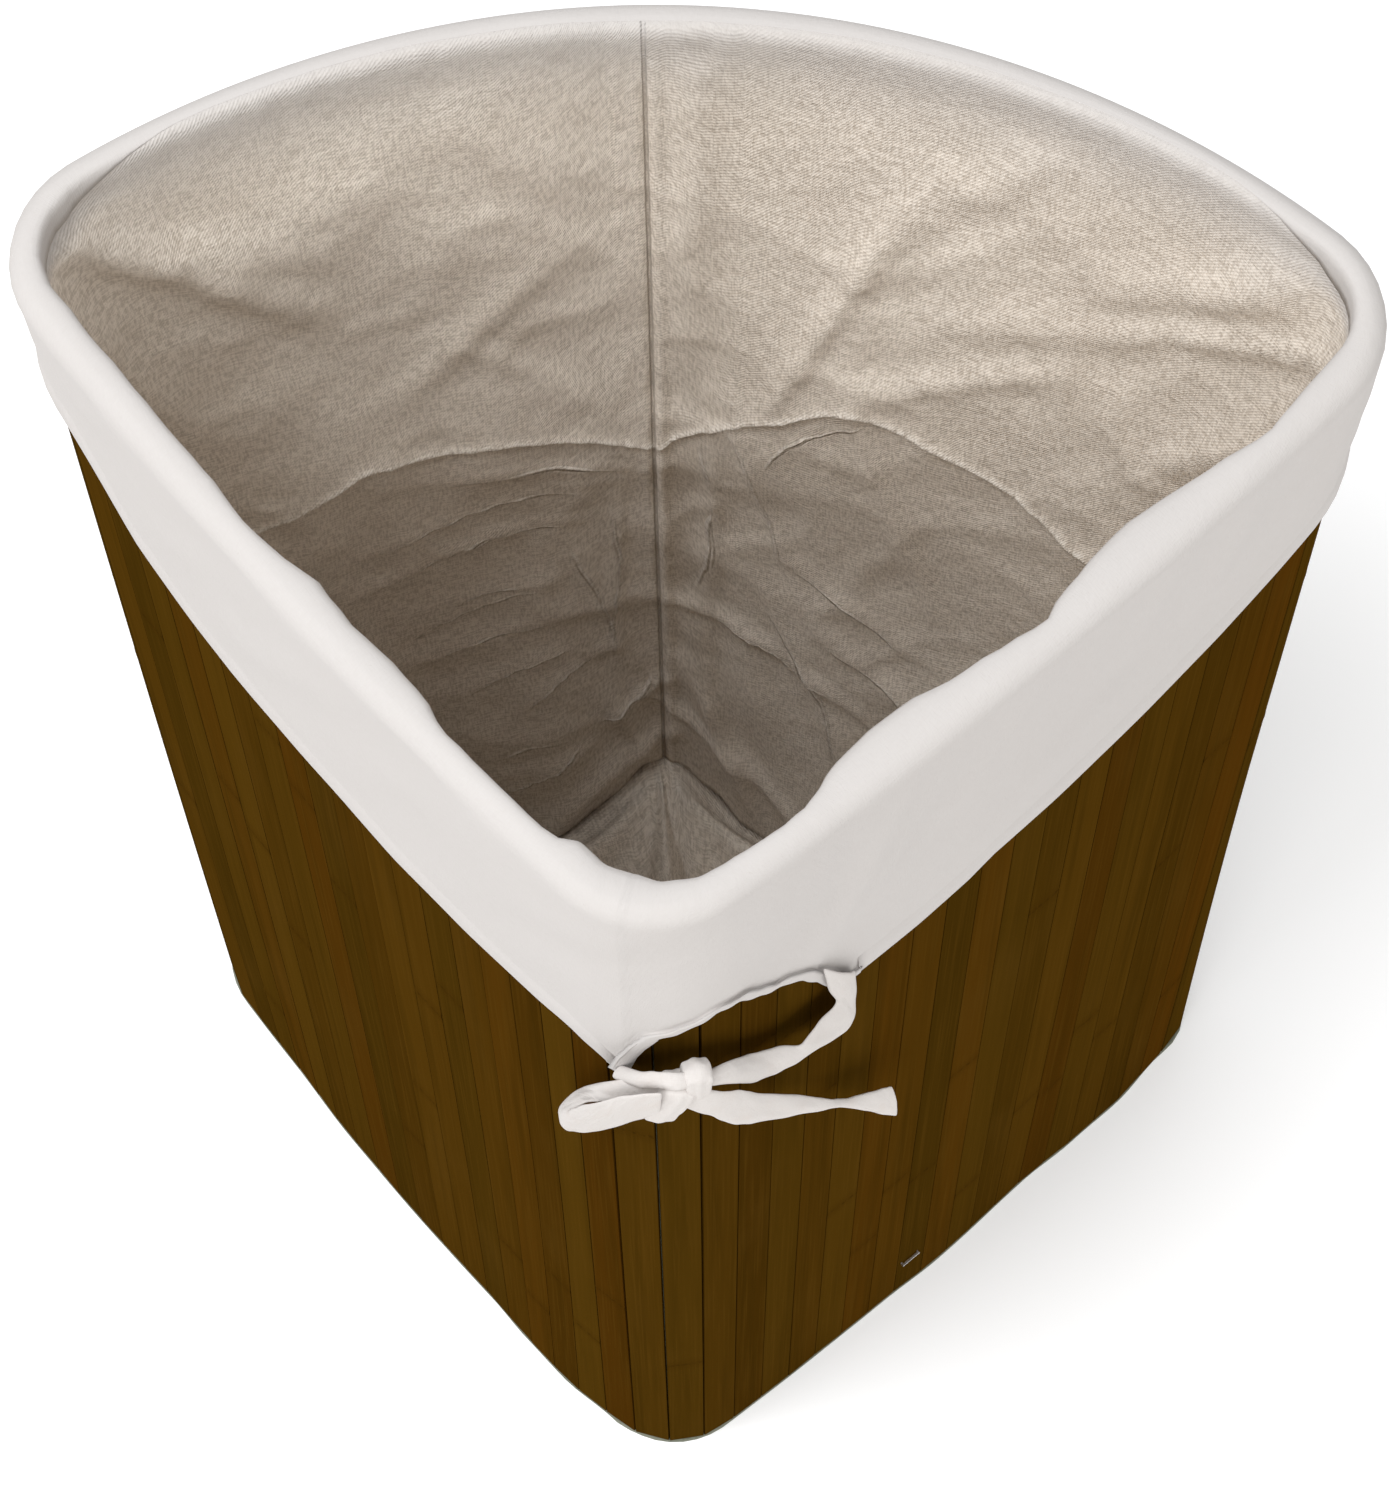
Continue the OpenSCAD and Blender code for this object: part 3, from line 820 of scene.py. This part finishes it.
# Painted highlight: paler along the fold line and the narrow fold lines, partly worn cloth and
# partly the light caught on their ridges
worn_and_highlit = (crease_wear_and_highlight * 0.6 + lines * 0.4).tint(natural, (0.95, 0.91, 0.85, 1))
sewn = (seam_line * 0.75).tint(worn_and_highlit, (0.26, 0.21, 0.17, 1))
woven = (weft + warp).band(0.8, 1.16).tint((0.56, 0.49, 0.415, 1), sewn)
flecked = (fleck.band(0.66, 0.78) * 0.5).tint(woven, (0.42, 0.34, 0.26, 1))
slubbed = (slub.band(0.6, 0.8) * 0.35).tint(flecked, (0.86, 0.79, 0.70, 1))
bleached = (weft * 0.6 + warp * 0.6 - 0.1).tint((0.50, 0.47, 0.45, 1), (0.57, 0.545, 0.525, 1))
wire(nodes, shader, "Base Color", at_rim.tint(slubbed, bleached))
wire(nodes, shader, "Roughness", weft * 0.15 + 0.78)
fine = bump(nodes, weft + warp + twill_line * 0.4, 0.0005, 0.6)
creased = bump(nodes, lines - seam_line, 0.0016, 0.6, fine)
wire(nodes, shader, "Normal", bump(nodes, crumple + slub * 0.15, 0.0026, 0.5, creased))
bag_walls.data.materials.append(twill)
bag_nodes = ("bag_left", "bag_right", "bag_back_left", "bag_back_right", "back_seam", "floor_seam")
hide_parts(*bag_nodes)

# Bag floor: one panel sewn to the foot of the walls. It lies slack on the board's sleeve and
# is drawn up into folds where the back seam meets it.
hub = Vector((0.0, 0.03, 0.0))
floor_rest = 0.0060
rings = 34
floor_columns = []
for point in bag_foot:
    column = []
    for k in range(rings + 1):
        t = 1 - k / rings
        place = hub + (point - hub) * t
        away = (point - place).length
        rise = (point.z - floor_rest) * max(0.0, 1 - away / 0.075) ** 1.8
        swing = math.atan2(place.x + 0.024, 0.150 - place.y)
        reach = Vector((place.x + 0.024, place.y - 0.140)).length
        pleat = max(0.0, math.sin(swing * 7 + 0.8)) * 0.019
        pleat *= math.exp(-((reach - 0.055) / 0.045) ** 2)
        lie = (noise.noise(place * 22) + 0.6) * 0.0035 * min(1.0, away / 0.02)
        place.z = floor_rest + rise + max(0.0, pleat * min(1.0, away / 0.012)) + max(0.0, lie)
        column.append(place)
    floor_columns.append(column)
bag_floor = net("bag_bottom", floor_columns, True)
shape = bmesh.new()
shape.from_mesh(bag_floor.data)
bmesh.ops.remove_doubles(shape, verts=shape.verts, dist=0.00001)
shape.to_mesh(bag_floor.data)
shape.free()
thicken(bag_floor, 0.0005)
bag_floor.data.materials.append(twill)
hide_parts("bag_floor")
for piece in (bag_walls, bag_floor):
    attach(piece, "liner")
    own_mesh(piece)

# Cuff: the liner's white top, drawn up over the rim, rolled under at its inner edge and folded
# down outside. Its lower edge dips at the front corner and is cut away in an arch beside it.
cuff_edge = [(-569, 555), (-340, 586), (-300, 586), (-289, 580), (-275, 566), (-253, 539),
             (-229, 529), (-203, 521), (-146, 515), (-117, 510), (-80, 511), (-42, 516),
             (-29, 520), (-18, 517), (-13, 508), (-8.6, 502), (-7, 511), (-5, 523), (-2, 534),
             (2, 544), (7, 548), (13, 553), (20, 557), (28, 553), (39, 543), (49, 536),
             (55, 529), (61, 517), (65, 507), (68, 499), (72, 495), (79, 493), (107, 495),
             (130, 501), (140, 506), (171, 510), (189, 515), (211, 520), (247, 531), (273, 542),
             (296, 554), (330, 566), (400, 560), (569, 555)]
# Soft folds of the cuff, outwards, with places along the wall from the front corner
cuff_folds = [(96, 632, 66, 552, 9, 3.0), (114, 632, 86, 568, 6, 2.2),
              (152, 634, 122, 588, 8, 2.4), (212, 638, 196, 596, 7, 2.4),
              (44, 628, 12, 560, 14, 1.8), (-58, 632, -92, 570, 14, 1.6),
              (180, 560, 120, 520, 12, 1.6), (-150, 604, -190, 560, 14, 1.6),
              (250, 636, 232, 588, 8, 2)]


def edge_height(s):
    """Lower edge of the cuff, in metres, with small gathers along the arch."""
    mm = s * 1000
    height = straight(mm, cuff_edge)
    if 2 < mm < 70:
        height += 1.1 * math.sin(mm * 0.52) * math.sin(mm * 0.23 + 1.0)
    return height / 1000


def drape(s, z):
    """Soft waves of the cuff, outwards, in metres."""
    place = on_wall(s, 0, z)
    low = (wall_height - z) / 0.14
    wave = noise.noise(Vector((s * 16, z * 7, 2.0))) * 2.0
    wave += noise.noise(Vector((s * 7, z * 3, 9.0))) * 2.2
    slant = noise.noise(Vector((s * 34 - z * 30, z * 14, 5.0))) * 1.5
    crease = noise.noise(place * 60) * 0.4
    fold = sum(ridge_at(s * 1000, z * 1000, ridge) for ridge in cuff_folds)
    return max(-0.8, wave * min(1.0, 0.35 + low) + slant + crease + fold) / 1000


cuff_snug = 0.0040


def cuff_out(s, z):
    """How far the cuff stands out from the wall: snug along its edge, loose above it."""
    loose = min(1.0, max(0.0, (z - edge_height(s)) / 0.055))
    return cuff_snug + drape(s, z) * (0.15 + 0.85 * loose)


def along_roll(roll, t):
    """Point at place t of the rim's section, counted in its corners."""
    k = min(int(t), len(roll) - 2)
    (out, up), (next_out, next_up) = roll[k], roll[k + 1]
    return out + (next_out - out) * (t - k), up + (next_up - up) * (t - k)


# Heights above the cuff's edge of its lowest rows, close together where the hem lies
edge_steps = [0.0, 0.0012, 0.003, 0.006, 0.009, 0.0118, 0.0132, 0.0142, 0.0158, 0.018]
cuff_columns = spread_columns(0.0062, [(-0.034, 0.094, 0.0017)])
cuff_rows = 18
cuff_top = 0.643
roll_rows = 6
cuff_thickness = 0.0009
columns = []
for s in cuff_columns:
    foot = edge_height(s)
    roll = rim_roll(s)
    top_out = roll[0][0]
    column = []
    for step in edge_steps:
        z = foot + step
        column.append(on_wall(s, cuff_out(s, z), z))
    start = foot + edge_steps[-1]
    for k in range(1, cuff_rows + 1):
        t = k / cuff_rows
        z = start + (cuff_top - start) * t
        out = cuff_out(s, z) + (top_out - cuff_snug) * t ** 2 - drape(s, z) * 0.6 * t ** 3
        column.append(on_wall(s, out, z))
    for out, z in roll[:crown_at + 1]:
        column.append(on_wall(s, out, z + 0.0002))
    front = between(abs(s) * 1000, [(330, 1), (390, 0)])
    for k in range(1, roll_rows + 1):
        out, z = along_roll(roll, crown_at + k / roll_rows * (1 + 4.7 * front))
        over = min(1.0, k / 3) * front
        column.append(on_wall(s, out - 0.0005 * over, z + 0.0002 + 0.0004 * over))
    columns.append(column)
cuff = net("cuff_cloth", columns, True)
thicken(cuff, cuff_thickness)

white_cotton, nodes, shader = new_material("white_cotton", 0.85, 0.1)
cloth = cloth_place(nodes)
weft, warp = threads(cloth, 300, 1700)
patch = cloth.speckle(9.0, 3.0)
crumple = cloth.speckle(30.0, 4.0, 0.6)
fleck = cloth.speckle(430.0, 2.0, 0.6)
pale = (patch * 0.5).tint((0.58, 0.556, 0.54, 1), (0.545, 0.513, 0.49, 1))
woven = (weft * 0.6 + warp * 0.6 - 0.1).tint((0.53, 0.50, 0.48, 1), pale)
wire(nodes, shader, "Base Color", (fleck.band(0.7, 0.8) * 0.35).tint(woven, (0.42, 0.38, 0.34, 1)))
wire(nodes, shader, "Roughness", weft * 0.12 + 0.8)
fine = bump(nodes, weft + warp, 0.0002, 0.5)
wire(nodes, shader, "Normal", bump(nodes, crumple, 0.0016, 0.4, fine))
cuff.data.materials.append(white_cotton)
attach(cuff, "liner")
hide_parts("cuff", "rim_fold")

# Hem and arch binding: the cuff's lower edge is turned up and sewn down as the drawstring's
# casing. Along the arch the turning is narrower, rolled, and gathered by its stitches.


def bound_edge(name, stations, width_at, lift):
    """A turned hem along stations (along, height, slope angle), sewn to the cuff."""
    columns = []
    for s, z, lean in stations:
        width = width_at(s)
        up = math.cos(lean)
        side = math.sin(lean)
        section = [(0.003, -0.0004), (0.0006, -0.0003), (-0.0006, 0.0006), (-0.0002, 0.0018),
                   (0.0012, 0.0024), (0.0035, 0.0026), (0.0035 + width * 0.35, 0.0025),
                   (width * 0.75, 0.0019), (width - 0.0016, 0.0008), (width - 0.0006, 0.0003),
                   (width + 0.0004, 0.0001), (width + 0.0016, -0.0009)]
        column = []
        for far, proud in section:
            place_s = s + far * side
            place_z = z + far * up
            out = cuff_out(place_s, place_z) + proud * lift - 0.0001
            column.append(on_wall(place_s, out, place_z))
        columns.append(column)
    hem = net(name, columns, False)
    thicken(hem, 0.0006)
    hem.data.materials.append(white_cotton)
    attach(hem, "liner")
    return hem


hem_high = 0.014
hem_stations = []
round_trip = 2 * half_way
hem_from = 0.0800
hem_to = round_trip - 0.0110
hem_count = 190
for i in range(hem_count + 1):
    s = hem_from + (hem_to - hem_from) * i / hem_count
    s = s if s <= half_way else s - round_trip
    hem_stations.append((s, edge_height(s), 0.0))
hem = bound_edge("cuff_hem_band", hem_stations, lambda s: hem_high, 0.4)
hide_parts("cuff_hem")

arch_line = []
for i in range(361):
    s = -0.0106 + 0.0912 * i / 360
    point = Vector((s, edge_height(s)))
    if not arch_line or (point - arch_line[-1]).length > 0.0014:
        arch_line.append(point)
arch_stations = []
for i, point in enumerate(arch_line):
    run = arch_line[min(i + 3, len(arch_line) - 1)] - arch_line[max(i - 3, 0)]
    arch_stations.append((point.x, point.y, math.atan2(-run.y, run.x)))
binding = bound_edge("arch_edge_band", arch_stations,
                     lambda s: 0.0062 + 0.0007 * math.sin(s * 420), 0.6)
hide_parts("arch_binding")

# Bow: the two ends of the cotton tape drawstring come out of the casing at the ends of the arch
# and are tied in a half bow, with one loop to the left and one loose end to the right.
tape_cotton, nodes, shader = new_material("tape_cotton", 0.85, 0.1)
cloth = cloth_place(nodes)
weft, warp = threads(cloth, 400, 2400)
reddish_blotch = cloth.speckle(60.0, 3.0)
crumple = cloth.speckle(110.0, 3.0, 0.6)
# Darker reddish blotches, spread at random over the tape
pale = (reddish_blotch.band(0.45, 0.8) * 0.5).tint((0.68, 0.65, 0.63, 1), (0.63, 0.55, 0.50, 1))
wire(nodes, shader, "Base Color",
     (weft * 0.6 + warp * 0.6 - 0.1).tint((0.57, 0.53, 0.50, 1), pale))
wire(nodes, shader, "Roughness", weft * 0.12 + 0.8)
fine = bump(nodes, weft + warp, 0.0002, 0.5)
wire(nodes, shader, "Normal", bump(nodes, crumple, 0.0009, 0.5, fine))


def smooth_run(points, step):
    """Points of a Catmull-Rom curve through the given ones, with step points in each span."""
    ends = [points[0] * 2 - points[1]] + points + [points[-1] * 2 - points[-2]]
    run = []
    for i in range(1, len(ends) - 2):
        p0, p1, p2, p3 = ends[i - 1:i + 3]
        for k in range(step):
            t = k / step
            run.append(0.5 * (2 * p1 + (p2 - p0) * t + (2 * p0 - 5 * p1 + 4 * p2 - p3) * t * t
                              + (3 * p1 - p0 - 3 * p2 + p3) * t ** 3))
    run.append(points[-1])
    return run


def cotton_tape(name, pairs, puff, node):
    """Folded tape between two edge lines of (along, out, up) points in millimetres."""
    first, second = [smooth_run([on_wall(*[mm / 1000 for mm in pair[side]]) for pair in pairs], 5)
                     for side in (0, 1)]
    section = 9
    columns = []
    for i in range(len(first)):
        before = max(0, i - 1)
        after = min(len(first) - 1, i + 1)
        run = (first[after] + second[after] - first[before] - second[before]).normalized()
        across = second[i] - first[i]
        facing = run.cross(across).normalized()
        if facing.dot(look) > 0:
            facing = -facing
        column = []
        for k in range(section):
            t = k / (section - 1)
            bulge = math.sin(math.pi * t) ** 0.7 * puff * min(1.0, across.length / 0.008)
            ripple = noise.noise(Vector((i * 0.35, t * 5.0, puff * 900))) * 0.0006
            column.append(first[i] + across * t + facing * (bulge + ripple))
        columns.append(column)
    tape = net(name, columns, False)
    thicken(tape, 0.0011, 0.0)
    rounded = tape.modifiers.new("rounded", "SUBSURF")
    rounded.levels = rounded.render_levels = 1
    apply_all(tape)
    tape.data.materials.append(tape_cotton)
    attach(tape, "liner")
    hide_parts(node)


cotton_tape("bow_right_end", [
    ((62, 6, 531), (77, 6, 504)), ((64, 7, 510), (77, 7, 481)), ((67, 8, 494), (77, 7, 458)),
    ((58, 10, 494), (68, 9, 459)), ((49, 12, 492), (54, 11, 474)), ((44, 10, 495), (44, 13, 482)),
    ((36, 9, 502), (36, 13, 486)), ((28, 9, 511), (27, 14, 496)), ((21, 10, 520), (20, 15, 512)),
    ((14, 12, 526), (14, 15, 520))
], 0.0018, "ribbon_right")
cotton_tape("bow_left_end", [
    ((-9, 5.5, 514), (-9, 6, 503)), ((-7, 7, 519), (-7, 8, 509)), ((-2, 11, 529), (-2, 13, 521)),
    ((2, 12, 533), (2, 14, 526)), ((6, 13, 534), (5, 15, 526)), ((9, 13, 533), (9, 14, 524))
], 0.0032, "ribbon_left")
cotton_tape("bow_loop_tape", [
    ((8, 12, 529), (7, 13, 510)), ((1, 11, 526), (1, 15, 510)), ((-7, 11, 518), (-6, 15, 507)),
    ((-17, 10, 494), (-12, 16, 502)), ((-24, 10, 468), (-15, 18, 500)),
    ((-30, 11, 441), (-17, 18, 490)), ((-27, 13, 434), (-17, 19, 494)),
    ((-21, 14, 446), (-13, 20, 509)), ((-13, 15, 467), (-8, 21, 524)),
    ((-5, 16, 490), (-3, 21, 534)), ((2, 16, 501), (3, 20, 535))
], 0.0016, "bow_loop")
cotton_tape("bow_tail", [
    ((7, 15, 522), (7, 16, 509)), ((13, 17, 521), (13, 17, 498)), ((17, 17, 515), (17, 17, 484)),
    ((22, 17, 506), (22, 17, 470)), ((26, 17, 494), (27, 17, 462)), ((40, 17, 467), (41, 16, 440)),
    ((55, 16, 434), (56, 15, 417)), ((66, 15, 410), (66, 15, 403)), ((76, 15, 396), (79, 14, 372)),
    ((86, 15, 384), (89, 14, 348)), ((92, 15, 376), (98, 13, 327))
], 0.0016, "tail")

# Knot: the tape drawn tight in two wraps, a small square one over the right end and a wide one
# that falls over the root of the loop.


def knot_wrap(name, place, size, lean, swing):
    """One padded wrap of tape: a rounded block, pulled in where the tape turns under."""
    bpy.ops.object.select_all(action="DESELECT")
    bpy.ops.mesh.primitive_cube_add(size=1, location=(0, 0, 0))
    wrap = bpy.context.object
    wrap.name = name
    bpy.ops.object.mode_set(mode="EDIT")
    bpy.ops.mesh.subdivide(number_cuts=5)
    bpy.ops.mesh.select_all(action="SELECT")
    bpy.ops.transform.tosphere(value=0.62)
    bpy.ops.transform.resize(value=size)
    bpy.ops.object.mode_set(mode="OBJECT")
    for vertex in wrap.data.vertices:
        x, y, z = vertex.co
        groove = math.cos(x / size[0] * math.pi * 5) * 0.0004
        pinch = 1 - 0.16 * math.exp(-(z / size[2] * 3.2) ** 2)
        vertex.co = Vector((x * pinch, y * (1 + groove / 0.006), z))
        vertex.co += vertex.co.normalized() * noise.noise(vertex.co * 260) * 0.0009
    turn = Matrix.Rotation(swing, 4, "Z") @ Matrix.Rotation(lean, 4, "Y")
    wrap.data.transform(Matrix.Translation(place) @ turn)
    rounded = wrap.modifiers.new("rounded", "SUBSURF")
    rounded.levels = rounded.render_levels = 2
    apply_all(wrap)
    wrap.select_set(True)
    bpy.ops.object.mode_set(mode="EDIT")
    bpy.ops.mesh.select_all(action="SELECT")
    bpy.ops.uv.cube_project(cube_size=1.0)
    bpy.ops.object.mode_set(mode="OBJECT")
    bpy.ops.object.shade_smooth()
    wrap.data.uv_layers[0].name = "cloth"
    wrap.select_set(False)
    wrap.data.materials.append(tape_cotton)
    return wrap


square_wrap = knot_wrap("knot_small", on_wall(0.0112, 0.0130, 0.5235),
                        (0.0105, 0.0095, 0.0190), 0.05, 0.35)
wide_wrap = knot_wrap("knot_wide", on_wall(0.0045, 0.0135, 0.5120),
                      (0.0125, 0.0110, 0.0290), 0.30, 0.12)
square_wrap.select_set(True)
wide_wrap.select_set(True)
bpy.context.view_layer.objects.active = square_wrap
bpy.ops.object.join()
knot = bpy.context.object
knot.name = "bow_knot"
knot.select_set(False)
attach(knot, "liner")
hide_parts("knot")
